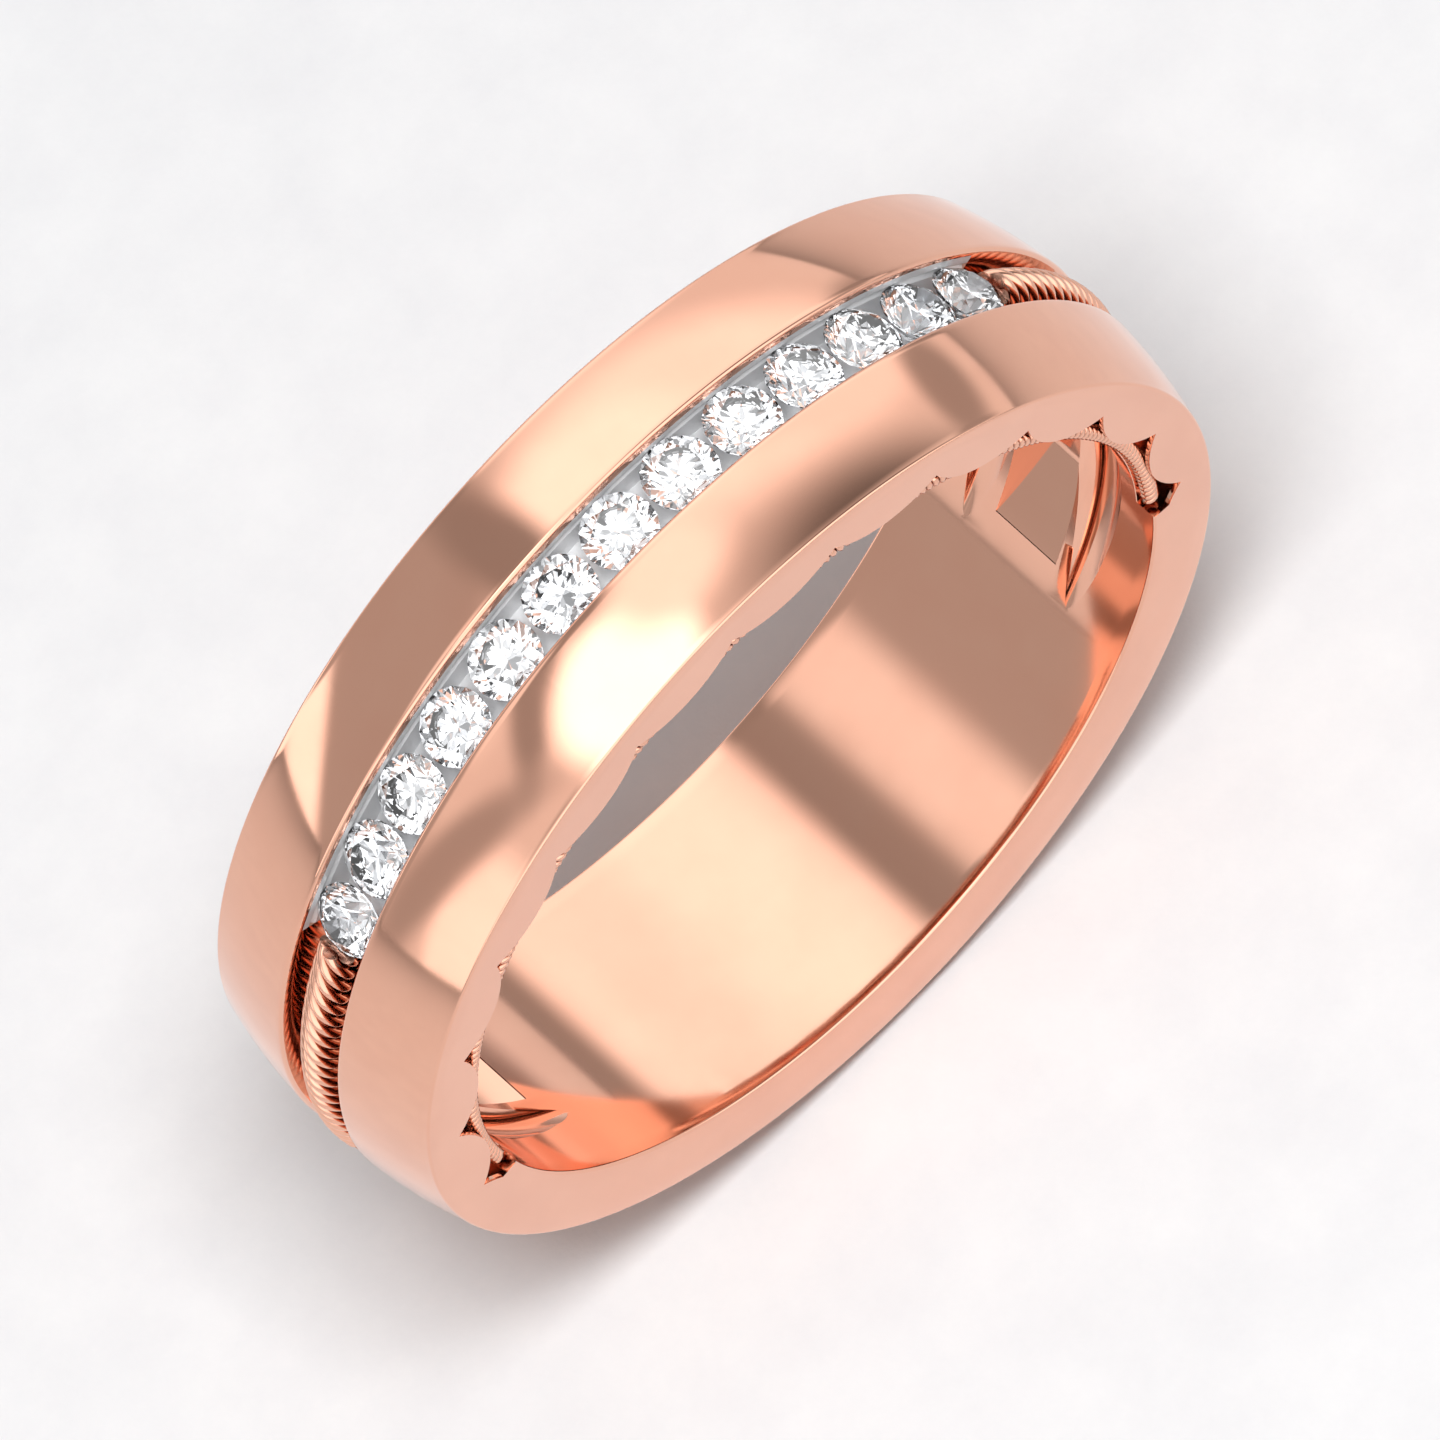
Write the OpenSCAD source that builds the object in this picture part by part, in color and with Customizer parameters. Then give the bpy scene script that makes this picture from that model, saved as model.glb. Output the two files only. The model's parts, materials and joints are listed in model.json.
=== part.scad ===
// Channel-set wedding band with twisted wire at the shoulders and at both finger-hole rims.
// The finger axis is Y, the row of stones is at the top (+Z), the origin is the centre of the hole.

/* [Band] */
// Radius of the finger hole
finger_r = 9.5; // [8.6:0.05:10.4]
// Width of the band along the finger
band_w = 6.24; // [5.6:0.02:8]
// Radius of the outside at the two side faces
edge_r = 11.2; // [11.1:0.01:11.3]
// Radius of the outside at the crown of the dome
crown_r = 11.65; // [11.55:0.01:11.8]
// Bevel on the outer corner of each side face
edge_bevel = 0.06; // [0.02:0.01:0.12]
// Bevel on the finger-hole edge
hole_bevel = 0.08; // [0.02:0.01:0.15]

/* [Stones] */
// Diameter of each round brilliant
stone_d = 1.7; // [1.5:0.01:1.74]
// Angle from one stone to the next
stone_step = 9.07; // [8.9:0.01:9.3]
// Number of stones in the row
stone_count = 13; // [7:2:13]
// Radius from the finger axis to the top of the girdles
girdle_r = 11.16; // [11.05:0.01:11.25]

/* [Channel] */
// Width of the open channel between the two rails
channel_w = 1.6; // [1.5:0.01:1.64]
// Wall thickness of the white-metal channel liner
liner_wall = 0.2; // [0.12:0.01:0.3]
// Angle above the horizontal where the liner starts on each side
liner_from = 31; // [28:0.5:33]

/* [Shoulder rope] */
// Outer diameter of the twisted wire in the groove
rope_d = 0.92; // [0.7:0.01:1.1]
// Radius of the circle the twisted wire follows
rope_path_r = 11.12; // [11.08:0.01:11.15]
// Number of strands
rope_strands = 5; // [3:1:6]
// Distance along the wire for one strand to repeat at the next
strand_gap = 0.37; // [0.3:0.01:0.6]
// Angle below the horizontal where the groove ends
groove_end = 14; // [8:1:24]

/* [Rim] */
// Number of scallops on each rim
scallops = 12; // [8:1:14]
// Angle from one scallop to the next
scallop_step = 16.34; // [14:0.01:17]
// Radius at the points between scallops
point_r = 10.3; // [10.1:0.01:10.4]
// Radius at the tip of a scallop
tip_r = 9.72; // [9.6:0.01:9.9]
// Thickness of the scalloped lip
lip = 0.12; // [0.1:0.01:0.3]
// Diameter of the fine wire behind the lip
rim_wire_d = 0.36; // [0.3:0.01:0.4]

/* [Hollowed underside] */
// Radius above which metal is kept beside the channel
web_r = 9.95; // [9.7:0.01:10]
// Half the width of the recess in the middle of each shoulder
recess_half = 0.88; // [0.7:0.01:1]
// Radius at the recess's deepest
recess_r = 10.35; // [9.8:0.01:10.4]
// Angle above the horizontal where the recess stops, short of the stones
recess_stop = 24; // [10:0.5:28]
// Radius of the scooping cut that gives the recess its slant
scoop_r = 7.3; // [6.8:0.05:7.5]
// Distance of the scooping cut's middle out from the finger axis
scoop_out = 4.1; // [3.9:0.05:4.4]
// Height of the scooping cut's middle above the finger axis
scoop_up = 0.8; // [0.5:0.05:1.2]
// Distance of each side hollow from the middle of the band
hollow_y = 1.5; // [1.4:0.01:1.55]
// Radius of each side hollow's round section
hollow_r = 0.75; // [0.5:0.01:0.8]
// Height of the side hollows' centre above the finger axis
hollow_lift = 0.9; // [0.6:0.01:0.95]

/* [Hidden] */

function stone_name(i) = str("diamond_", i < 10 ? "0" : "", i);

rose = "#d89c80";
white = "#c9cacc";
ice = "#eef4fb";
half_w = band_w / 2;
dome_rise = crown_r - edge_r;
dome_r = (half_w * half_w + dome_rise * dome_rise) / (2 * dome_rise);
half_channel = channel_w / 2;
liner_half = half_channel + liner_wall;
liner_top = 11.42;
reach = crown_r + 2.35;
liner_floor = 10.34;
liner_base = 10.16;
liner_to = 180 - liner_from;
groove_floor = rope_path_r - rope_d / 2 - 0.03;
groove_from = -groove_end;
groove_to = 180 + groove_end;
rope_from = 31.2;
rope_to = -groove_end + 2.5;
seat_wall = 0.4;               // width of the slot that the fine wire lies in
pocket_from = -11;
pocket_to = 191;
wire_from = -9.5;
wire_to = 189.5;
hollow_path_r = finger_r - 0.15;
web_half = liner_half + 0.1;   // metal kept each side of the channel
smooth = 240;

// Sweeps a drawing (x = radius, y = across the band) from one angle to another.
module turned(from = 0, to = 360)
    rotate([90, 0, 0])
        rotate_extrude(angle = to - from, start = from, $fn = smooth) children();

// Puts something standing on the finger axis at a given angle and radius.
module at_angle(angle, radius)
    rotate([0, 90 - angle, 0]) translate([0, 0, radius]) children();

// ---- band

module dome_profile()
    intersection() {
        translate([crown_r - dome_r, 0]) circle(r = dome_r, $fn = smooth);
        translate([finger_r, -half_w]) square([crown_r - finger_r + 1, band_w]);
    }

module bevels()
    for (side = [-1, 1]) scale([1, side]) {
        polygon([[edge_r - edge_bevel, half_w + 0.01], [edge_r + 0.2, half_w + 0.01],
                 [edge_r + 0.2, half_w - edge_bevel - 0.2 * tan(45)],
                 [edge_r, half_w - edge_bevel]]);
        polygon([[finger_r - 0.1, half_w + 0.01], [finger_r + hole_bevel, half_w + 0.01],
                 [finger_r, half_w - hole_bevel], [finger_r - 0.1, half_w - hole_bevel]]);
    }

// The open groove, a little wider at its mouth where its corners are softened.
module groove_profile(floor_r) {
    translate([floor_r, -half_channel]) square([crown_r + 1 - floor_r, channel_w]);
    polygon([[crown_r - 0.09, half_channel - 0.01], [crown_r + 0.2, half_channel + 0.19],
             [crown_r + 0.2, -half_channel - 0.19], [crown_r - 0.09, -half_channel + 0.01]]);
}

// One side's opening in the lip: a ring sector less the round scallops.
module scalloped_opening() {
    chord = point_r * sin(scallop_step / 2);
    rise = point_r * cos(scallop_step / 2) - tip_r;
    lobe_r = (chord * chord + rise * rise) / (2 * rise);
    difference() {
        turned(pocket_from, pocket_to)
            translate([finger_r - 0.3, half_w - lip]) square([point_r - finger_r + 0.3, lip + 1]);
        for (i = [-1 : scallops])
            rotate([0, -(i - (scallops - 1) / 2) * scallop_step, 0])
                translate([0, -half_w - 2, tip_r + lobe_r])
                    rotate([-90, 0, 0]) cylinder(r = lobe_r, h = 4, $fn = smooth);
    }
}

module wire_slot()
    turned(pocket_from, pocket_to)
        translate([finger_r - 0.3, half_w - lip - seat_wall])
            square([point_r - finger_r + 0.3, seat_wall + 0.001]);

// The underside is hollowed in a run each side of the channel, which fades out at the shank.
module side_hollow()
    difference() {
        translate([0, 0, hollow_lift])
            turned() {
                translate([hollow_path_r, hollow_y]) circle(r = hollow_r, $fn = smooth);
                translate([hollow_path_r - 2, hollow_y - hollow_r]) square([2, 2 * hollow_r]);
            }
        turned() translate([web_r, -web_half]) square([3, 2 * web_half]);
    }

// A scooped recess under the end of the stones' channel, running into the shank at a slant.
module shoulder_recess()
    rotate([90, 0, 0]) linear_extrude(2 * recess_half, center = true)
        intersection() {
            translate([scoop_out, scoop_up]) circle(r = scoop_r, $fn = smooth);
            circle(r = recess_r, $fn = smooth);
            polygon([[0, 0], [reach * cos(50), -reach * sin(50)], [reach, -3],
                     [reach * cos(recess_stop), reach * sin(recess_stop)]]);
        }

module band()
    color(rose) difference() {
        turned() difference() {
            dome_profile();
            bevels();
        }
        turned(liner_from, liner_to)
            translate([liner_base, -liner_half]) square([liner_top - liner_base, 2 * liner_half]);
        turned(groove_from, groove_to) groove_profile(groove_floor);
        for (side = [0, 1]) mirror([0, side, 0]) {
            scalloped_opening();
            wire_slot();
            side_hollow();
        }
        for (end = [0, 1]) mirror([end, 0, 0]) shoulder_recess();
    }

// ---- channel liner with a V seat in each wall for the girdles

module channel_liner()
    color(white) turned(liner_from, liner_to) difference() {
        translate([liner_base, -liner_half]) square([liner_top - liner_base, 2 * liner_half]);
        translate([liner_floor, -half_channel]) square([2, channel_w]);
        for (side = [-1, 1]) scale([1, side])
            polygon([[girdle_r - 0.14, half_channel - 0.01], [girdle_r - 0.02, stone_d / 2 + 0.02],
                     [girdle_r + 0.1, half_channel - 0.01]]);
    }

// ---- stones: round brilliants, 8 mains, 8 stars, 16 upper and 16 lower halves

function ring(n, r, z, turn = 0) =
    [for (k = [0 : n - 1]) [r * cos((k + turn) * 360 / n), r * sin((k + turn) * 360 / n), z]];

module brilliant(d) {
    r = d / 2;
    table_r = 0.57 * r;
    crown_h = 0.155 * d;
    girdle_h = 0.025 * d;
    depth = 0.44 * d;
    crown_slope = crown_h / (r - table_r);
    star_r = table_r * cos(22.5) + 0.5 * (r - table_r * cos(22.5));
    star_z = (r - star_r * cos(22.5)) * crown_slope;
    low_r = 0.24 * r;
    low_z = -girdle_h - (r - low_r * cos(22.5)) * depth / r;
    points = concat(ring(8, table_r, crown_h), ring(8, star_r, star_z, 0.5), ring(16, r, 0),
                    ring(16, r, -girdle_h), ring(8, low_r, low_z, 0.5), [[0, 0, -girdle_h - depth]]);
    star = 8;
    top = 16;
    low = 32;
    half = 48;
    culet = 56;
    faces = concat(
        [[7, 6, 5, 4, 3, 2, 1, 0]],
        [for (k = [0 : 7]) [k, (k + 1) % 8, star + k]],
        [for (k = [0 : 7]) each [[k, star + k, top + 2 * k], [k, top + 2 * k, star + (k + 7) % 8]]],
        [for (k = [0 : 7]) each [[star + k, top + 2 * k + 1, top + 2 * k],
                                 [star + k, top + (2 * k + 2) % 16, top + 2 * k + 1]]],
        [for (k = [0 : 15]) each [[top + k, top + (k + 1) % 16, low + (k + 1) % 16],
                                  [top + k, low + (k + 1) % 16, low + k]]],
        [for (k = [0 : 7]) each [[half + k, low + 2 * k, low + 2 * k + 1],
                                 [half + k, low + 2 * k + 1, low + (2 * k + 2) % 16]]],
        [for (k = [0 : 7]) each [[culet, low + 2 * k, half + k],
                                 [culet, half + (k + 7) % 8, low + 2 * k]]]);
    polyhedron(points, [for (f = faces) [for (i = [len(f) - 1 : -1 : 0]) f[i]]], convexity = 2);
}

module diamond(i)
    color(ice)
        at_angle(90 + ((stone_count + 1) / 2 - i) * stone_step, girdle_r) brilliant(stone_d);

// ---- twisted wire: a lobed section turned as it is carried along the groove

module twisted_wire(from, to, path_r, d, strands, gap, lay) {
    side_steps = strands * 4;
    span = abs(to - from);
    rings = ceil(span * PI / 180 * path_r / gap * 4);
    function lobe(t) = d / 2 * (0.82 + 0.18 * pow(abs(cos(strands * t / 2)), 0.8));
    function spot(s, k) =
        let (along = from + (to - from) * s / rings,
             twist = lay * 360 / strands * (s / 4),
             t = k * 360 / side_steps,
             q = lobe(t),
             rr = path_r + q * cos(t + twist))
        [rr * cos(along), -q * sin(t + twist), rr * sin(along)];
    points = [for (s = [0 : rings]) each [for (k = [0 : side_steps - 1]) spot(s, k)]];
    skin = [for (s = [0 : rings - 1]) each [for (k = [0 : side_steps - 1]) each
        let (a = s * side_steps + k, b = s * side_steps + (k + 1) % side_steps)
        [[a, b, b + side_steps], [a, b + side_steps, a + side_steps]]]];
    ends = [[for (k = [side_steps - 1 : -1 : 0]) k],
            [for (k = [0 : side_steps - 1]) rings * side_steps + k]];
    polyhedron(points, concat(skin, ends), convexity = 6);
}

module right_shoulder_rope()
    color(rose)
        twisted_wire(rope_from, rope_to, rope_path_r, rope_d, rope_strands, strand_gap, 1);

module left_shoulder_rope()
    color(rose) mirror([1, 0, 0])
        twisted_wire(rope_from, rope_to, rope_path_r, rope_d, rope_strands, strand_gap, 1);

// ---- fine wire lying behind each scalloped lip

module rim_wire(side)
    color(rose)
        turned(wire_from, wire_to)
            translate([finger_r + 0.01 + rim_wire_d / 2, side * (half_w - lip - 0.01 - rim_wire_d / 2)])
                circle(d = rim_wire_d, $fn = 48);

module front_rim_wire() rim_wire(1);
module back_rim_wire() rim_wire(-1);

band();
channel_liner();
left_shoulder_rope();
right_shoulder_rope();
front_rim_wire();
back_rim_wire();
for (i = [1 : stone_count])
    diamond(i);
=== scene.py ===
# Channel-set wedding band: a domed rose-gold ring with a white-gold stone channel, twisted wire
# at both shoulders and a fine twisted wire behind the scalloped rims of the finger hole.
import json
import math
import bpy
import numpy as np
from mathutils import Matrix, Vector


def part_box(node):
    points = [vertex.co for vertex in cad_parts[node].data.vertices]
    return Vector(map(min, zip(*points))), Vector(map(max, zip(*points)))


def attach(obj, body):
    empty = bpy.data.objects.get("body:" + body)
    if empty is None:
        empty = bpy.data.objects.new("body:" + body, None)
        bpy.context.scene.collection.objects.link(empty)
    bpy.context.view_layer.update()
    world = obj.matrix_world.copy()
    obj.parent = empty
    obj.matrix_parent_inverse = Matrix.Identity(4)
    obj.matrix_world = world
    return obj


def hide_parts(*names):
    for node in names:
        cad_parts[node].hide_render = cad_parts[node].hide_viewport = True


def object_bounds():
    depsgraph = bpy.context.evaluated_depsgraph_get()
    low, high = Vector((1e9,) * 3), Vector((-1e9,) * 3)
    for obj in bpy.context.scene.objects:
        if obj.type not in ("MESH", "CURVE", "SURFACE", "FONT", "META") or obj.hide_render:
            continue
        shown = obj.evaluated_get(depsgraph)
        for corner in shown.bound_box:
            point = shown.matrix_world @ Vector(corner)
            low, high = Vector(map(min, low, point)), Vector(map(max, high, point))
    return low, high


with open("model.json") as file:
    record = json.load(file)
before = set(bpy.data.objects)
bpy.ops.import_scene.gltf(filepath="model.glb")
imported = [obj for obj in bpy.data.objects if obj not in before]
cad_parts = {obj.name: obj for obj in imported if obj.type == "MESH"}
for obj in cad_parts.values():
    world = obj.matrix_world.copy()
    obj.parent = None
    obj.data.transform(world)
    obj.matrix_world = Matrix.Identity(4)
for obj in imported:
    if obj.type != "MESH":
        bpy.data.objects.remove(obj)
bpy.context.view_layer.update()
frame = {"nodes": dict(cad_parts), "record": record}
mm = 0.001
bandLow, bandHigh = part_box("band")
halfWidth = (bandHigh[1] - bandLow[1]) / 2 / mm
holeRadius = next(m["dims"]["r_mm"] for m in frame["record"]["mounts"] if m["name"] == "finger_hole")
print("frame loaded, band is", round(2 * halfWidth, 2), "mm wide round a hole of", 2 * holeRadius, "mm")


# ------------------------------------------------ mesh helpers

def closedGridMesh(name, grid, sharpDegrees):
    # grid is rows x columns x 3 in mm; it closes on itself both ways, and neighbours are joined by quads
    rows, cols = grid.shape[:2]
    rr, cc = np.meshgrid(np.arange(rows), np.arange(cols), indexing="ij")
    nr, nc = (rr + 1) % rows, (cc + 1) % cols
    quads = np.stack([rr * cols + cc, nr * cols + cc, nr * cols + nc, rr * cols + nc], -1).reshape(-1, 4)
    return meshFromQuads(name, grid.reshape(-1, 3), quads, sharpDegrees)


def meshFromQuads(name, points, quads, sharpDegrees=None, attributes=None, caps=()):
    mesh = bpy.data.meshes.new(name)
    faces = [tuple(q) for q in quads.tolist()] + [tuple(c) for c in caps]
    mesh.from_pydata((points * mm).tolist(), [], faces)
    for key, values in (attributes or {}).items():
        layer = mesh.attributes.new(key, "FLOAT", "POINT")
        layer.data.foreach_set("value", np.asarray(values, np.float32).ravel())
    mesh.shade_smooth()
    if sharpDegrees:
        mesh.set_sharp_from_angle(angle=math.radians(sharpDegrees))
    mesh.update()
    piece = bpy.data.objects.new(name, mesh)
    bpy.context.scene.collection.objects.link(piece)
    return piece


# ------------------------------------------------ the band

bandShape = {
    "sideRadius": 11.21, "crownRadius": 11.65, "ovalness": 0.105,   # mm; fuller above and below
    "outerRound": 0.07, "holeRound": 0.07, "mouthRound": 0.1,
    "grooveHalf": 0.8, "grooveFloor": 10.63, "grooveLedge": 11.2,
    "grooveEnd": 14.0,                               # degrees below horizontal
    "linerHalf": 1.0, "linerBase": 10.16, "linerTop": 11.42, "linerFrom": 31.0,
    "pocketEnd": 11.0, "lip": 0.12, "slot": 0.4, "pointRadius": 10.3, "tipRadius": 9.72,
    "scallops": 12, "scallopStep": 16.34,
    "recessRadius": 10.35, "recessHalf": 0.88, "recessEnd": 35.4, "recessStop": 24.0,
    "scoopRadius": 7.3, "scoopOut": 4.1, "scoopUp": 0.8, "webHalf": 1.1, "webRadius": 9.95,
    "hollowMiddle": 1.5, "hollowRadius": 0.75, "hollowPath": 9.35, "hollowLift": 0.9,
    "hollowStep": 0.45,
    "sharpDegrees": 28, "hair": 0.012, "fine": 0.002,   # an offset that keeps an edge crisp, and a finer one
}


def bandAngles(s):
    # one ring of points every 0.6 degree, or 1 round the plain shank, and two a hair apart wherever the section
    # changes at once
    cusps = 90 + (np.arange(s["scallops"] + 1) - s["scallops"] / 2) * s["scallopStep"]
    rightSteps = [-s["recessEnd"], s["recessStop"], -s["grooveEnd"], s["linerFrom"], -s["pocketEnd"]]
    steps = rightSteps + [180 - v for v in rightSteps]
    close = np.arange(-48, 228.1, 0.6)
    coarse = np.arange(229, 311.5, 1.0)
    pairs = np.array([[v - s["hair"], v + s["hair"]] for v in steps]).ravel()
    everything = np.concatenate([close, coarse])
    keep = np.min(np.abs(everything[:, None] - np.concatenate([steps, cusps])[None, :]), axis=1) > 0.12
    return np.sort(np.concatenate([everything[keep], pairs, cusps]))


def scallopEdge(angle, s):
    # distance from the finger axis to the lip's edge: circles that bulge inwards and meet in points
    half = math.radians(s["scallopStep"] / 2)
    chord = s["pointRadius"] * math.sin(half)
    rise = s["pointRadius"] * math.cos(half) - s["tipRadius"]
    lobe = (chord ** 2 + rise ** 2) / (2 * rise)
    centre = s["tipRadius"] + lobe
    away = (angle - 90) / s["scallopStep"] - 0.5
    phi = np.radians((away - np.round(away)) * s["scallopStep"])
    return centre * np.cos(phi) - np.sqrt(lobe ** 2 - (centre * np.sin(phi)) ** 2)


def bandSection(angle, s):
    # Half the section at each angle, as (radius, distance from the middle plane), from the middle of the
    # outside, over the dome and the side face, round the lip and its slot, to the middle of the underside.
    one = np.ones(len(angle))
    hair, fine = s["hair"], s["fine"]
    swell = -s["ovalness"] * np.cos(2 * np.radians(angle))
    domeRise = s["crownRadius"] - s["sideRadius"]
    domeRadius = (halfWidth ** 2 + domeRise ** 2) / (2 * domeRise)
    dome = lambda y: s["crownRadius"] - domeRadius + np.sqrt(domeRadius ** 2 - y ** 2) + swell
    out = []

    def add(r, y):
        out.append(np.stack([r * one, y * one], -1))

    def line(a, b, count):
        # on from a, which is there already, to b
        for t in np.linspace(0, 1, count)[1:]:
            add(a[0] * (1 - t) + b[0] * t, a[1] * (1 - t) + b[1] * t)

    inLiner = (angle > s["linerFrom"]) & (angle < 180 - s["linerFrom"])
    inGroove = (angle > -s["grooveEnd"]) & (angle < 180 + s["grooveEnd"])
    g, mouth = s["grooveHalf"], s["grooveHalf"] + s["mouthRound"]
    floor = np.where(inLiner, s["linerBase"], np.where(inGroove, s["grooveFloor"], dome(0)))
    wallY = np.where(inLiner, s["linerHalf"], g)
    ledge = np.where(inLiner, s["linerTop"], np.where(inGroove, s["grooveLedge"], dome(g * 0.8)))
    mouthR = np.where(inGroove, dome(mouth) - s["mouthRound"], dome(g))
    for t in (0, 0.33, 0.66):
        add(np.where(inGroove, floor, dome(g * 0.6 * t)), wallY * t * np.where(inGroove, 1, 0.6))
    add(np.where(inGroove, floor, dome(g * 0.6)), np.where(inGroove, wallY, g * 0.6))
    add(np.where(inGroove, (floor + ledge) / 2, dome(g * 0.7)), np.where(inGroove, wallY, g * 0.7))
    add(ledge, np.where(inGroove, wallY, g * 0.8))
    add(np.where(inGroove, ledge + fine, dome(g * 0.9)), np.where(inGroove, g, g * 0.9))
    add(mouthR, g)
    for t in np.radians([15, 30, 45, 60, 75]):   # rounded mouth of the groove
        r, y = mouthR + s["mouthRound"] * np.sin(t), g + s["mouthRound"] * (1 - np.cos(t))
        add(np.where(inGroove, r, dome(y)), y)
    outer = s["outerRound"]
    for y in np.linspace(mouth, halfWidth - outer, 22):
        add(dome(y), y)
    edge = dome(halfWidth - outer)
    for t in np.radians([18, 36, 54, 72, 90]):
        add(edge - outer * (1 - np.cos(t)), halfWidth - outer + outer * np.sin(t))
    # side face down to the lip's edge, or to the rounded edge of the hole where there is no lip
    inPocket = (angle > -s["pocketEnd"]) & (angle < 180 + s["pocketEnd"])
    lipR = np.where(inPocket, scallopEdge(angle, s), holeRadius + s["holeRound"])
    line((edge - outer, halfWidth), (lipR, halfWidth), 4)
    back, slotIn = halfWidth - s["lip"], halfWidth - s["lip"] - s["slot"]
    ceiling = s["pointRadius"]
    rd = s["holeRound"]
    plain = [(holeRadius + rd * (1 - math.sin(t)), halfWidth - rd * (1 - math.cos(t)))
             for t in np.radians([15, 30, 45, 60, 75, 90])]
    pocket = [(lipR - 2 * fine, halfWidth - hair), (lipR - 2 * fine, halfWidth - s["lip"] / 2),
              (lipR - fine, back), (ceiling, back - fine), (ceiling, (back + slotIn) / 2), (ceiling, slotIn)]
    for p, q in zip(pocket, plain):
        add(np.where(inPocket, p[0], q[0]), np.where(inPocket, p[1], q[1]))
    for t in (0.5, 0.98):
        add(np.where(inPocket, ceiling + (holeRadius - ceiling) * t, holeRadius),
            np.where(inPocket, slotIn, slotIn + 0.3 * (1 - t) + hair))
    add(holeRadius, slotIn - hair)
    # underside: plain wall, side hollow, web under the channel, recess; the hollow is a round cut whose path
    # is a circle lifted a little above the finger axis, so it fades out at the shank
    path, rho, mid = s["hollowPath"], s["hollowRadius"], s["hollowMiddle"]
    lift = s["hollowLift"]
    a = np.radians(angle)
    centre = lift * np.sin(a) + np.sqrt(path ** 2 - (lift * np.cos(a)) ** 2)
    below = holeRadius - centre
    hollow = below < rho - 1e-4
    startA = np.where(below > 0, np.arcsin(np.clip(below / rho, 0, 1)), 0.0)
    mouthY = mid + rho * np.cos(startA)
    line((holeRadius, slotIn - hair), (holeRadius, np.where(hollow, mouthY + 2 * fine, mid + 0.1)), 3)
    inRecess = ((angle > -s["recessEnd"]) & (angle < s["recessStop"])
                | (angle > 180 - s["recessStop"]) & (angle < 180 + s["recessEnd"]))
    # the recess follows a circle whose middle lies off the finger axis, so it deepens towards the stones
    lean = s["scoopOut"] * np.abs(np.cos(a)) + s["scoopUp"] * np.sin(a)
    scoop = lean + np.sqrt(lean ** 2 - s["scoopOut"] ** 2 - s["scoopUp"] ** 2 + s["scoopRadius"] ** 2)
    deepHere = np.where(inRecess, np.clip(scoop, holeRadius, s["recessRadius"]), holeRadius)
    deep = s["webRadius"]
    upper = centre + np.sqrt(rho ** 2 - (mid - s["webHalf"]) ** 2)
    byWeb = hollow & (upper > deep)
    innerY = mid - rho * np.cos(startA)
    byRidge = hollow & ~byWeb & ((innerY > s["recessHalf"]) | ~inRecess)
    endA = np.where(byWeb, math.pi - math.acos((mid - s["webHalf"]) / rho),
                    np.where(byRidge, math.pi - startA, math.pi - math.acos((mid - s["recessHalf"]) / rho)))
    for t in np.linspace(0, 1, 14):
        bend = startA + (endA - startA) * t
        add(np.where(hollow, centre + rho * np.sin(bend), holeRadius),
            np.where(hollow, mid + rho * np.cos(bend), mid + 0.08 * (1 - 2 * t)))
    wall = s["recessHalf"]
    halfUp = (centre + s["hollowStep"] + deepHere) / 2
    add(np.where(byWeb, deep + 0.01, np.where(byRidge | ~hollow, holeRadius, halfUp)),
        np.where(byWeb, s["webHalf"], wall + fine))
    add(np.where(byWeb, deep, deepHere), np.where(byWeb, wall + 2 * fine, wall))
    for t in (0.98, 0.66, 0.33, 0.0):
        add(deepHere, wall * t)
    return np.stack(out, 1)


def buildBand(s):
    # Point at angle a, section point (r, y): (r cos a, y, r sin a); the section's mirror image closes it.
    angle = bandAngles(s)
    half = bandSection(angle, s)
    other = half[:, -2:0:-1] * np.array([1, -1])
    section = np.concatenate([half, other], 1)
    a = np.radians(angle)[:, None]
    grid = np.stack([section[..., 0] * np.cos(a), section[..., 1], section[..., 0] * np.sin(a)], -1)
    return closedGridMesh("goldBand", grid, s["sharpDegrees"])


goldBand = buildBand(bandShape)
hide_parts("band")
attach(goldBand, "root")
print("band:", len(goldBand.data.polygons), "faces")


# ------------------------------------------------ twisted wires

ropeShape = {"pathRadius": 11.12, "diameter": 0.92, "strands": 5, "gap": 0.41, "from": 31.2, "to": -11.5,
             "perStrand": 12, "perGap": 9}
rimShape = {"pathRadius": 9.69, "diameter": 0.38, "bead": 0.2, "from": -9.4, "to": 189.4, "perTurn": 14,
            "sides": 8, "inFromFace": 0.31}


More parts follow.
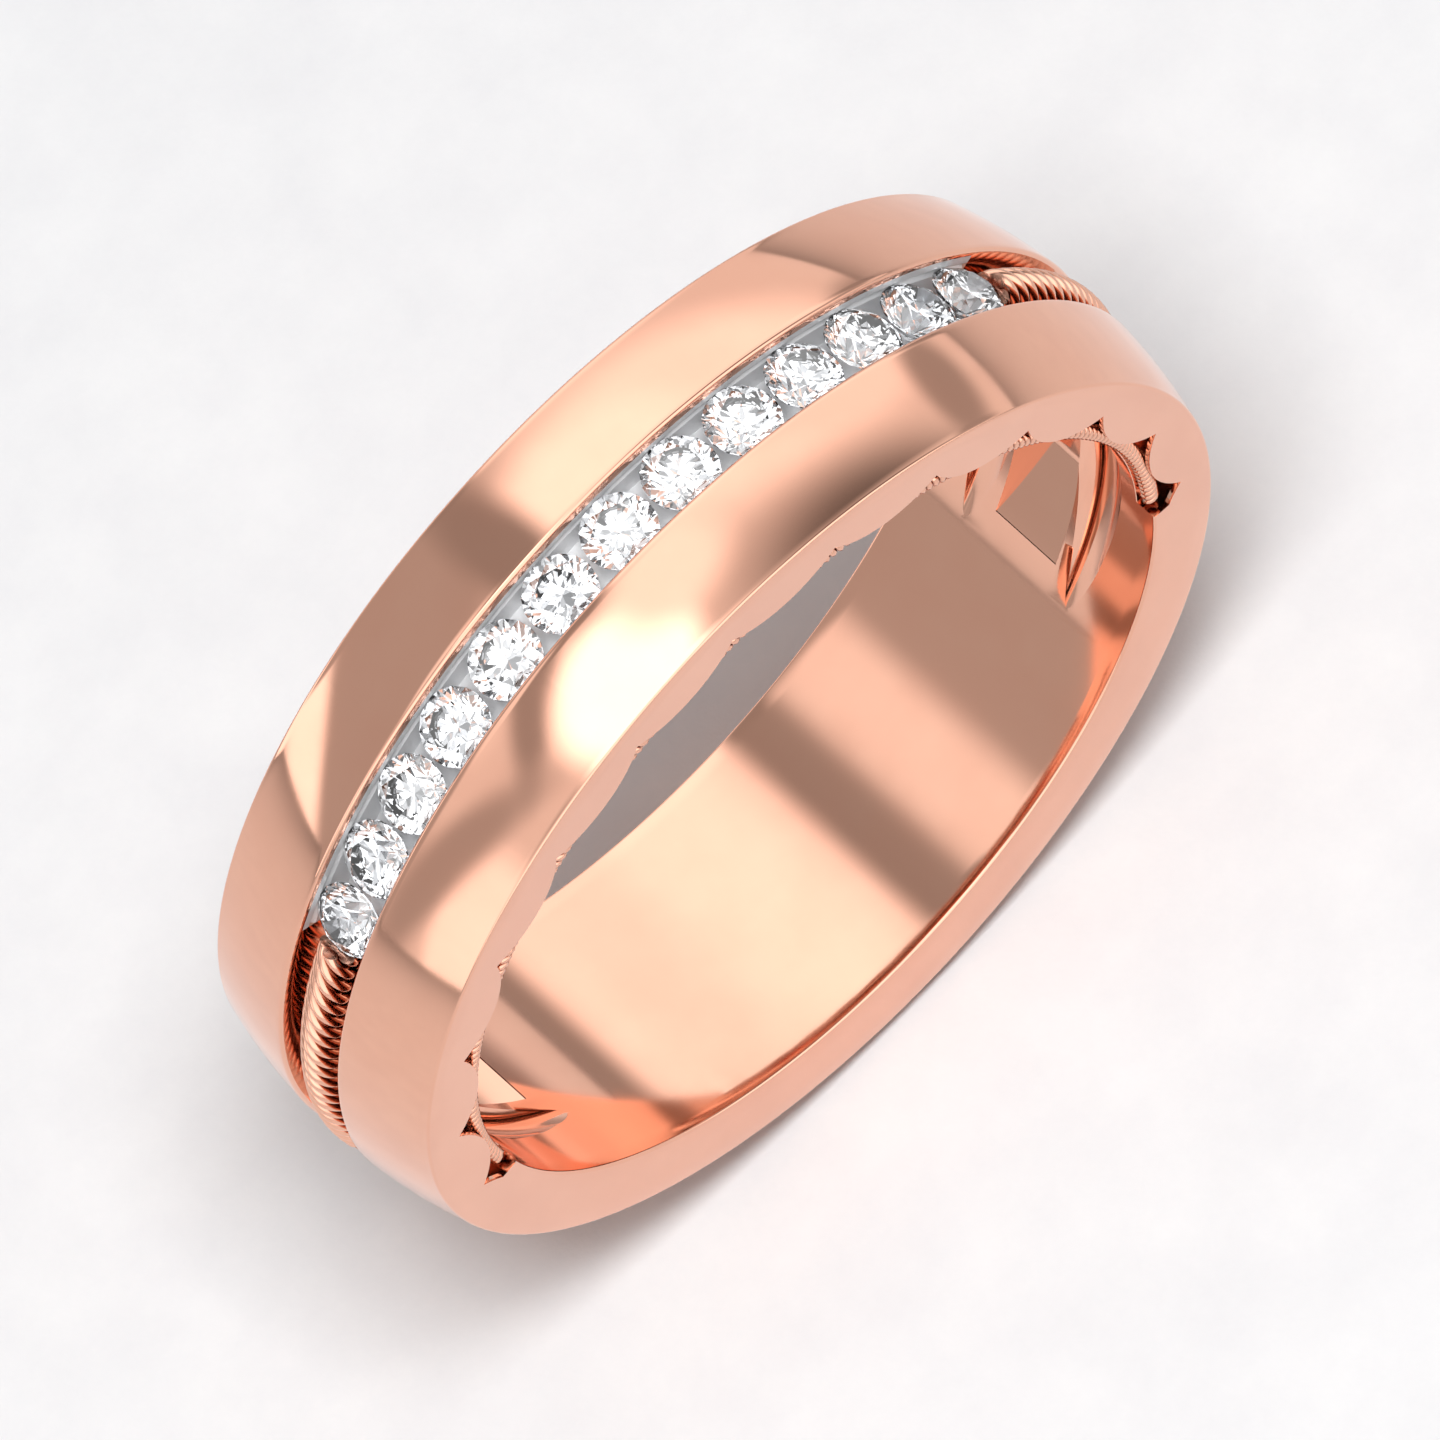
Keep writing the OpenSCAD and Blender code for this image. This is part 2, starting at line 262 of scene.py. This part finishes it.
def buildRope(name, s, flip):
    # A section of touching round strands is turned steadily as it is carried along an arc round Y.
    strands, outer = s["strands"], s["diameter"] / 2
    strandR = outer * math.sin(math.pi / strands) / (1 + math.sin(math.pi / strands))
    middle = outer - strandR
    t = np.arange(strands * s["perStrand"]) / s["perStrand"]
    phi = (t - np.round(t)) * 2 * math.pi / strands
    inside = np.maximum(strandR ** 2 - (middle * np.sin(phi)) ** 2, 0)
    q = middle * np.cos(phi) + np.sqrt(inside)
    length = math.radians(abs(s["to"] - s["from"])) * s["pathRadius"]
    rings = int(length / s["gap"] * s["perGap"])
    u = np.linspace(0, 1, rings)[:, None]
    along = np.radians(s["from"] + (s["to"] - s["from"]) * u)
    turn = 2 * math.pi * t[None, :] / strands + 2 * math.pi / strands * (u * length / s["gap"])
    r = s["pathRadius"] + q * np.cos(turn)
    y = -q * np.sin(turn)
    grid = np.stack([flip * r * np.cos(along), y, r * np.sin(along)], -1)
    rows, cols = grid.shape[:2]
    rr, cc = np.meshgrid(np.arange(rows - 1), np.arange(cols), indexing="ij")
    quads = np.stack([rr * cols + cc, rr * cols + (cc + 1) % cols, (rr + 1) * cols + (cc + 1) % cols,
                      (rr + 1) * cols + cc], -1).reshape(-1, 4)
    caps = [list(range(cols))[::-1], list(range((rows - 1) * cols, rows * cols))]
    if flip < 0:
        quads, caps = quads[:, ::-1], [c[::-1] for c in caps]
    # the wire's material darkens points by this depth: painted shade in the creases between the strands
    depth = np.tile((outer - q) / outer, rows)      # how deep between the strands a point lies
    return meshFromQuads(name, grid.reshape(-1, 3), quads, 50, {"depth": depth}, caps)


def buildRimWire(name, s, side):
    # Two thin round strands wind round each other along an arc: helix (cos w, sin w) times the strand radius.
    strandR = s["diameter"] / 4
    length = math.radians(s["to"] - s["from"]) * s["pathRadius"]
    turns = length / (2 * s["bead"])
    rings = int(turns * s["perTurn"])
    u = np.linspace(0, 1, rings)[:, None]
    k = np.arange(s["sides"])[None, :] * 2 * math.pi / s["sides"]
    along = np.radians(s["from"] + (s["to"] - s["from"]) * u)
    allPoints, allQuads, caps, depths = [], [], [], []
    for strand in (0, 1):
        w = 2 * math.pi * turns * u + math.pi * strand
        slope = math.atan2(2 * math.pi * strandR * turns, length)   # how far a strand leans off the path
        # across the strand: outward from the wire's axis, and sideways in the plane the strand leans in
        outR, outY = np.cos(w), np.sin(w)
        sideR, sideY, sideT = -np.sin(w) * math.cos(slope), np.cos(w) * math.cos(slope), -math.sin(slope)
        pr = strandR * (outR + np.cos(k) * outR + np.sin(k) * sideR)
        py = strandR * (outY + np.cos(k) * outY + np.sin(k) * sideY)
        pt = strandR * np.sin(k) * sideT
        r = s["pathRadius"] + pr
        y = side * (halfWidth - s["inFromFace"]) + py
        x = r * np.cos(along) - pt * np.sin(along)
        z = r * np.sin(along) + pt * np.cos(along)
        base = strand * rings * s["sides"]
        allPoints.append(np.stack([x, y, z], -1).reshape(-1, 3))
        rr, cc = np.meshgrid(np.arange(rings - 1), np.arange(s["sides"]), indexing="ij")
        cn = (cc + 1) % s["sides"]
        allQuads.append(base + np.stack([rr * s["sides"] + cc, (rr + 1) * s["sides"] + cc,
                                         (rr + 1) * s["sides"] + cn, rr * s["sides"] + cn],
                                        -1).reshape(-1, 4))
        first = [base + i for i in range(s["sides"])]
        caps += [first, [i + (rings - 1) * s["sides"] for i in first][::-1]]
        # depth is how near a point lies to where the two strands meet; the wire's material paints shade by it
        depths.append(np.broadcast_to(0.5 - 0.5 * np.cos(k), r.shape).ravel())
    return meshFromQuads(name, np.concatenate(allPoints), np.concatenate(allQuads), None,
                         {"depth": np.concatenate(depths)}, caps)


rightRope = buildRope("rightShoulderRope", ropeShape, 1)
leftRope = buildRope("leftShoulderRope", ropeShape, -1)
frontWire = buildRimWire("frontRimWire", rimShape, -1)
backWire = buildRimWire("backRimWire", rimShape, 1)
for piece, node in ((rightRope, "right_shoulder_rope"), (leftRope, "left_shoulder_rope"),
                    (frontWire, "front_rim_wire"), (backWire, "back_rim_wire")):
    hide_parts(node)
    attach(piece, "root")
print("wires:", len(rightRope.data.polygons), "faces a rope,", len(frontWire.data.polygons), "a rim wire")


# ------------------------------------------------ materials

def linearColour(hexText):
    values = [int(hexText[i:i + 2], 16) / 255 for i in (1, 3, 5)]
    return tuple(v / 12.92 if v <= 0.04045 else ((v + 0.055) / 1.055) ** 2.4 for v in values) + (1.0,)


def addNode(tree, kind, settings=None, links=None):
    # settings: node properties and input values; links: input name -> output socket
    node = tree.nodes.new(kind)
    for key, value in (settings or {}).items():
        if isinstance(key, str) and hasattr(node, key):
            setattr(node, key, value)
        else:
            node.inputs[key].default_value = value
    for key, socket in (links or {}).items():
        tree.links.new(socket, node.inputs[key])
    return node


def newMaterial(name):
    material = bpy.data.materials.new(name)
    material.use_nodes = True
    tree = material.node_tree
    tree.nodes.clear()
    return material, tree


goldLook = {"colour": "#edb79e", "worn": "#e8ae95", "roughness": 0.07, "grainPerMm": 14, "grainDepth": 0.0006,
            "cloudPerMm": 0.75}


def rosePolish(name, look, roughness, creaseShadeColour=None):
    # 14 carat rose gold, machine polished: mirror-like, with the faint waviness and haze of a buffed face. With
    #                                       a crease colour given, it also paints shade into the creases between
    #                                       a wire's strands, darker the deeper a point lies.
    material, tree = newMaterial(name)
    coords = addNode(tree, "ShaderNodeTexCoord").outputs["Object"]
    perMm = addNode(tree, "ShaderNodeMapping", {"Scale": (1000, 1000, 1000)}, {"Vector": coords}).outputs[0]
    cloud = addNode(tree, "ShaderNodeTexNoise", {"Scale": look["cloudPerMm"], "Detail": 3.0},
                    {"Vector": perMm})
    grain = addNode(tree, "ShaderNodeTexNoise",
                    {"Scale": look["grainPerMm"], "Detail": 2.0, "Roughness": 0.6}, {"Vector": perMm})
    tone = addNode(tree, "ShaderNodeMix", {"data_type": "RGBA"}, {"Factor": cloud.outputs["Fac"]})
    tone.inputs[6].default_value = linearColour(look["colour"])
    tone.inputs[7].default_value = linearColour(look["worn"])
    colour = tone.outputs[2]
    if creaseShadeColour:
        # painted shade: the deeper a point lies between the strands, the more it takes the dark crease colour
        deep = addNode(tree, "ShaderNodeAttribute", {"attribute_name": "depth"})
        ramp = addNode(tree, "ShaderNodeMapRange", {"From Min": 0.12, "From Max": 0.4},
                       {"Value": deep.outputs["Fac"]})
        paintedCreaseShade = addNode(tree, "ShaderNodeMix", {"data_type": "RGBA"}, {"Factor": ramp.outputs["Result"]})
        tree.links.new(colour, paintedCreaseShade.inputs[6])
        paintedCreaseShade.inputs[7].default_value = linearColour(creaseShadeColour)
        colour = paintedCreaseShade.outputs[2]
    haze = addNode(tree, "ShaderNodeMapRange", {"From Min": 0.35, "From Max": 0.7, "To Min": roughness,
                                                "To Max": roughness + 0.03}, {"Value": cloud.outputs["Fac"]})
    bump = addNode(tree, "ShaderNodeBump", {"Strength": 0.12, "Distance": look["grainDepth"] * mm},
                   {"Height": grain.outputs["Fac"]})
    shader = addNode(tree, "ShaderNodeBsdfPrincipled", {"Metallic": 1.0},
                     {"Base Color": colour, "Roughness": haze.outputs["Result"],
                      "Normal": bump.outputs["Normal"]})
    addNode(tree, "ShaderNodeOutputMaterial", None, {"Surface": shader.outputs["BSDF"]})
    return material


whiteLook = {"colour": "#f0f0f1", "shade": "#e6e7e9", "roughness": 0.3, "grainPerMm": 16,
             "grainDepth": 0.0006}


def whitePolish(name, look):
    # white gold, rhodium plated with a satin surface: half gloss and half matt, so it stays a soft pale grey
    # inside the channel, where a mirror would show only the dark between the stones
    material, tree = newMaterial(name)
    coords = addNode(tree, "ShaderNodeTexCoord").outputs["Object"]
    perMm = addNode(tree, "ShaderNodeMapping", {"Scale": (1000, 1000, 1000)}, {"Vector": coords}).outputs[0]
    cloud = addNode(tree, "ShaderNodeTexNoise", {"Scale": 0.8, "Detail": 3.0}, {"Vector": perMm})
    grain = addNode(tree, "ShaderNodeTexNoise", {"Scale": look["grainPerMm"], "Detail": 2.0},
                    {"Vector": perMm})
    tone = addNode(tree, "ShaderNodeMix", {"data_type": "RGBA"}, {"Factor": cloud.outputs["Fac"]})
    tone.inputs[6].default_value = linearColour(look["colour"])
    tone.inputs[7].default_value = linearColour(look["shade"])
    roughness = look["roughness"]
    haze = addNode(tree, "ShaderNodeMapRange", {"To Min": roughness, "To Max": roughness + 0.04},
                   {"Value": cloud.outputs["Fac"]})
    bump = addNode(tree, "ShaderNodeBump", {"Strength": 0.1, "Distance": look["grainDepth"] * mm},
                   {"Height": grain.outputs["Fac"]})
    shader = addNode(tree, "ShaderNodeBsdfPrincipled", {"Metallic": 0.35},
                     {"Base Color": tone.outputs[2], "Roughness": haze.outputs["Result"],
                      "Normal": bump.outputs["Normal"]})
    addNode(tree, "ShaderNodeOutputMaterial", None, {"Surface": shader.outputs["BSDF"]})
    return material


def brilliantDiamond(name):
    # near-colourless cut diamond: clear, IOR 2.42, flat polished facets that throw back the soft boxes
    material, tree = newMaterial(name)
    coords = addNode(tree, "ShaderNodeTexCoord").outputs["Object"]
    perMm = addNode(tree, "ShaderNodeMapping", {"Scale": (1000, 1000, 1000)}, {"Vector": coords}).outputs[0]
    cloud = addNode(tree, "ShaderNodeTexNoise", {"Scale": 0.7, "Detail": 1.0}, {"Vector": perMm})
    tone = addNode(tree, "ShaderNodeMix", {"data_type": "RGBA"}, {"Factor": cloud.outputs["Fac"]})
    tone.inputs[6].default_value = linearColour("#ffffff")
    tone.inputs[7].default_value = linearColour("#f4f8ff")
    shader = addNode(tree, "ShaderNodeBsdfPrincipled",
                     {"Metallic": 0.0, "Roughness": 0.0, "IOR": 2.42, "Transmission Weight": 1.0},
                     {"Base Color": tone.outputs[2]})
    addNode(tree, "ShaderNodeOutputMaterial", None, {"Surface": shader.outputs["BSDF"]})
    return material


goldPolished = rosePolish("polishedRoseGold", goldLook, goldLook["roughness"])
# the dark brown given here is painted shade for the creases between the strands
goldTwisted = rosePolish("drawnRoseGoldWire", goldLook, 0.13, "#7a3d2c")
whiteGold = whitePolish("rhodiumPlatedWhiteGold", whiteLook)
diamond = brilliantDiamond("roundBrilliantDiamond")


def dress(piece, material):
    piece.data.materials.clear()
    piece.data.materials.append(material)


dress(goldBand, goldPolished)
for piece in (rightRope, leftRope, frontWire, backWire):
    dress(piece, goldTwisted)
dress(frame["nodes"]["channel_liner"], whiteGold)
for name, node in frame["nodes"].items():
    if name.startswith("diamond_"):
        dress(node, diamond)
print("materials on")


# ------------------------------------------------ floor, light, camera

studio = {"floorSize": 0.9, "floorColour": "#e8e8e9", "floorMottle": "#e1e1e3"}


def paleFloor(name):
    # fine unglazed paper: pale, matt, with a soft mottle and a fine tooth about half a millimetre across
    material, tree = newMaterial(name)
    coords = addNode(tree, "ShaderNodeTexCoord").outputs["Object"]
    perMm = addNode(tree, "ShaderNodeMapping", {"Scale": (1000, 1000, 1000)}, {"Vector": coords}).outputs[0]
    mottle = addNode(tree, "ShaderNodeTexNoise", {"Scale": 0.35, "Detail": 5.0, "Roughness": 0.65},
                     {"Vector": perMm})
    tooth = addNode(tree, "ShaderNodeTexNoise", {"Scale": 2.4, "Detail": 3.0, "Roughness": 0.7},
                    {"Vector": perMm})
    spread = addNode(tree, "ShaderNodeMapRange", {"From Min": 0.3, "From Max": 0.7},
                     {"Value": mottle.outputs["Fac"]})
    tone = addNode(tree, "ShaderNodeMix", {"data_type": "RGBA"}, {"Factor": spread.outputs["Result"]})
    tone.inputs[6].default_value = linearColour(studio["floorColour"])
    tone.inputs[7].default_value = linearColour(studio["floorMottle"])
    bump = addNode(tree, "ShaderNodeBump", {"Strength": 0.25, "Distance": 0.05 * mm},
                   {"Height": tooth.outputs["Fac"]})
    shader = addNode(tree, "ShaderNodeBsdfPrincipled", {"Roughness": 0.9, "Specular IOR Level": 0.2},
                     {"Base Color": tone.outputs[2], "Normal": bump.outputs["Normal"]})
    addNode(tree, "ShaderNodeOutputMaterial", None, {"Surface": shader.outputs["BSDF"]})
    return material


restLow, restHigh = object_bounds()
floorZ = restLow[2]
span = studio["floorSize"] / 2
floorMesh = bpy.data.meshes.new("paleFloor")
corners = [(x * span, y * span, floorZ) for x, y in ((-1, -1), (1, -1), (1, 1), (-1, 1))]
floorMesh.from_pydata(corners, [], [(0, 1, 2, 3)])
floor = bpy.data.objects.new("paleFloor", floorMesh)
bpy.context.scene.collection.objects.link(floor)
floor.data.materials.append(paleFloor("unglazedPaper"))


# The studio seen from the ring, laid out flat: distance from the middle is degrees down from the zenith, x
# towards +X and y towards +Y. Each soft box or flag is an oval: middle x, y, half width, half height, turn in
# degrees, softness of its edge, brightness, and they lie over each other in this order.
lightPlan = {
    "open": 1.02, "tint": "#ffffff",
    "boxes": {
        "dimWall": (-50, 41, 50, 21, 12, 0.5, 0.54),
        "wideScreen": (34, 28, 44, 23, -7, 0.6, 1.6),
        "screenHeart": (14, 33, 22, 12, -8, 0.9, 1.85),
        "leftScreen": (-36, 20, 13, 7, 15, 1.0, 1.25),
        "midFlag": (-11, 34, 8, 25, 0, 0.8, 0.38),
        "lowStrip": (-64, 57, 26, 6, 20, 0.7, 1.9),
        "sideStrip": (-90, -5, 30, 13, 0, 0.4, 1.7),
        "sideFlag": (-70, 9.5, 30, 5.5, -24, 0.9, 0.5),
        "edgeFlag": (-28, 11, 21, 5, 34, 0.8, 0.42),
        "keyBox": (-15, -4, 19, 13, 4, 0.55, 3.0),
        "topGlow": (7, 5, 14, 9, 0, 0.9, 1.7),
        "rightFlag": (49, -12, 31, 12, 0, 1.3, 0.2),
        "rightScreen": (58, 17, 20, 8, 0, 0.9, 1.4),
        "doorFlag": (81, 9, 6, 16, 0, 0.8, 0.45),
        "cornerFlag": (83, 35, 9, 9, 0, 0.9, 0.4),
        "frontScreen": (-5, -52, 75, 30, 0, 0.4, 1.9),
    },
}


def buildStudioLight(plan):
    world = bpy.data.worlds.new("softStudio")
    world.use_nodes = True
    tree = world.node_tree
    tree.nodes.clear()
    direction = addNode(tree, "ShaderNodeTexCoord").outputs["Generated"]
    parts = addNode(tree, "ShaderNodeSeparateXYZ", None, {"Vector": direction})
    flat = addNode(tree, "ShaderNodeCombineXYZ", None, {"X": parts.outputs["X"], "Y": parts.outputs["Y"]})
    heading = addNode(tree, "ShaderNodeVectorMath", {"operation": "NORMALIZE"}, {0: flat.outputs[0]})
    down = addNode(tree, "ShaderNodeMath", {"operation": "ARCCOSINE"}, {0: parts.outputs["Z"]})
    degrees = addNode(tree, "ShaderNodeMath", {"operation": "MULTIPLY", 1: 180 / math.pi},
                      {0: down.outputs[0]})
    place = addNode(tree, "ShaderNodeVectorMath", {"operation": "SCALE"},
                    {0: heading.outputs[0], "Scale": degrees.outputs[0]}).outputs[0]
    tint = linearColour(plan["tint"])[:3]
    total = None
    for x, y, halfW, halfH, turn, soft, level in plan["boxes"].values():
        local = addNode(tree, "ShaderNodeMapping",
                        {"vector_type": "TEXTURE", "Location": (x, y, 0),
                         "Rotation": (0, 0, math.radians(turn)), "Scale": (halfW, halfH, 1)}, {"Vector": place})
        reach = addNode(tree, "ShaderNodeVectorMath", {"operation": "LENGTH"}, {0: local.outputs[0]})
        mask = addNode(tree, "ShaderNodeMapRange",
                       {"interpolation_type": "SMOOTHSTEP", "From Min": 1 + soft / 2, "From Max": 1 - soft / 2},
                       {"Value": reach.outputs["Value"]})
        mix = addNode(tree, "ShaderNodeMix", {"data_type": "RGBA"}, {"Factor": mask.outputs["Result"]})
        if total is None:
            mix.inputs[6].default_value = tuple(v * plan["open"] for v in tint) + (1,)
        else:
            tree.links.new(total, mix.inputs[6])
        mix.inputs[7].default_value = tuple(v * level for v in tint) + (1,)
        total = mix.outputs[2]
    glow = addNode(tree, "ShaderNodeBackground", {"Strength": 1.0}, {"Color": total})
    addNode(tree, "ShaderNodeOutputWorld", None, {"Surface": glow.outputs["Background"]})
    world.cycles_visibility.diffuse = False     # matt surfaces are lit by the two lamps below
    bpy.context.scene.world = world


# The lamps over the paper: where they hang in the same plan, how far off (m), their sides (m) and power (W).
# The small one hangs beside the lens and throws the dark under the ring; the wide one fills it in. Mirror
# surfaces don't see them.
lampPlan = {
    "overheadBox": {"at": (-4, -12), "away": 0.25, "size": (0.125, 0.058), "power": 0.56},
    "widePanel": {"at": (4, -8), "away": 0.15, "size": (0.8, 0.8), "power": 0.98},
}


def aimed(place, right, up):
    # a matrix for something that looks back along right x up from its place
    back = np.cross(right, up)
    return Matrix([[right[i], up[i], back[i], place[i]] for i in range(3)] + [[0, 0, 0, 1]])


def hangLamp(name, plan):
    x, y = plan["at"]
    tilt, heading = math.radians(math.hypot(x, y)), math.atan2(y, x)
    aside = math.sin(tilt)
    toLamp = np.array([aside * math.cos(heading), aside * math.sin(heading), math.cos(tilt)])
    data = bpy.data.lights.new(name, "AREA")
    data.shape = "RECTANGLE"
    data.size, data.size_y = plan["size"]
    data.energy = plan["power"]
    lamp = bpy.data.objects.new(name, data)
    bpy.context.scene.collection.objects.link(lamp)
    right = np.cross([0, 1, 0], toLamp)
    right /= np.linalg.norm(right)
    lamp.matrix_world = aimed(toLamp * plan["away"], right, np.cross(toLamp, right))
    lamp.visible_camera = lamp.visible_glossy = lamp.visible_transmission = False


buildStudioLight(lightPlan)
for name, plan in lampPlan.items():
    hangLamp(name, plan)

cameraView = {
    "right": (0.6985, -0.6942, -0.1738), "forward": (0.1246, 0.3571, -0.9257), "width": 29.436,
    "across": 0.1177, "down": 0.1169, "away": 120,      # mm from the ring's centre to the middle of the view
}


def placeCamera(v):
    data = bpy.data.cameras.new("longLens")
    data.type = "ORTHO"
    data.ortho_scale = v["width"] * mm
    data.sensor_width = 36
    camera = bpy.data.objects.new("longLens", data)
    bpy.context.scene.collection.objects.link(camera)
    forward = np.array(v["forward"]) / np.linalg.norm(v["forward"])
    right = np.array(v["right"]) - forward * np.dot(v["right"], forward)
    right /= np.linalg.norm(right)
    up = np.cross(right, forward)
    place = right * v["across"] - up * v["down"] - forward * v["away"]
    camera.matrix_world = aimed(place * mm, right, up)
    data.clip_start, data.clip_end = 0.005, 2.0
    bpy.context.scene.camera = camera


placeCamera(cameraView)
bpy.context.scene.view_settings.view_transform = "Standard"
print("studio and camera ready")
